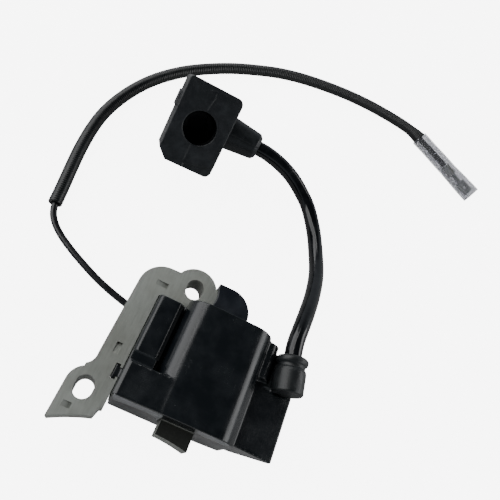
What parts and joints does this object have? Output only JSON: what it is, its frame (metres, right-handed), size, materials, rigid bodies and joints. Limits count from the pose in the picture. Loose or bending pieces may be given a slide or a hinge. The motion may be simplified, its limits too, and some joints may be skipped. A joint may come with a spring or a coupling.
{
  "type": "ignition coil",
  "caption": "Two-leg ignition module with a laminated core, potted coil case, high-tension lead with spark plug boot, and a sheathed stop wire with a covered terminal.",
  "frame": {"origin": "centre of the lower mounting slot, on the mounting face of the core", "axes": "+Z out of the mounting face towards the coil hump, +Y from the pole faces to the yoke, +X from the long leg towards the high-tension outlet"},
  "size_m": [0.154, 0.1709, 0.0338],
  "materials": {
    "core_steel": "satin, blanked electrical steel",
    "case_plastic": "glossy black moulding",
    "cover_plastic": "satin black moulding",
    "bobbin_black": "glass-filled nylon",
    "bobbin_white": "natural nylon",
    "copper_wire": "enamelled copper",
    "board": "phenolic board",
    "component_black": "epoxy moulded",
    "component_tan": "lacquered ceramic",
    "tinned": "tinned",
    "brass_pin": "plain",
    "resin": "poured epoxy",
    "rubber_black": "matte moulded rubber",
    "lead_jacket": "glossy extruded jacket",
    "wire_jacket": "extruded PVC",
    "sheath_weave": "varnished ribbed sheath",
    "clear_pvc": "clear soft PVC"
  },
  "bodies": {
    "module": {"core_laminations": "core_steel", "coil_case": "case_plastic", "yoke_cover": "cover_plastic", "primary_bobbin": "bobbin_black", "primary_winding": "copper_wire", "secondary_bobbin": "bobbin_white", "secondary_winding": "copper_wire", "circuit_board": "board", "power_transistor": "component_black", "resistors": "component_tan", "capacitor": "component_tan", "diode": "component_black", "earth_tag": "tinned", "primary_leads": "copper_wire", "hv_pin": "brass_pin", "potting_resin": "resin", "lead_grommet": "rubber_black", "ht_lead": "lead_jacket", "ht_lead_core": "copper_wire", "stop_wire": "wire_jacket", "stop_wire_sheath": "sheath_weave", "stop_terminal": "tinned"},
    "boot": {"plug_boot": "rubber_black", "plug_terminal": "tinned"},
    "sleeve": {"clear_sleeve": "clear_pvc"}
  },
  "joints": [
    {"name": "boot_turn", "type": "hinge", "parent": "module", "child": "boot", "pos_m": [0.009, 0.1001, 0.0049], "axis": [1, 0, 0], "range_deg": [-45, 45]},
    {"name": "sleeve_slide", "type": "slide", "parent": "module", "child": "sleeve", "axis": [0.887, -0.4617, 0], "range_m": [0, 0.01]}
  ]
}
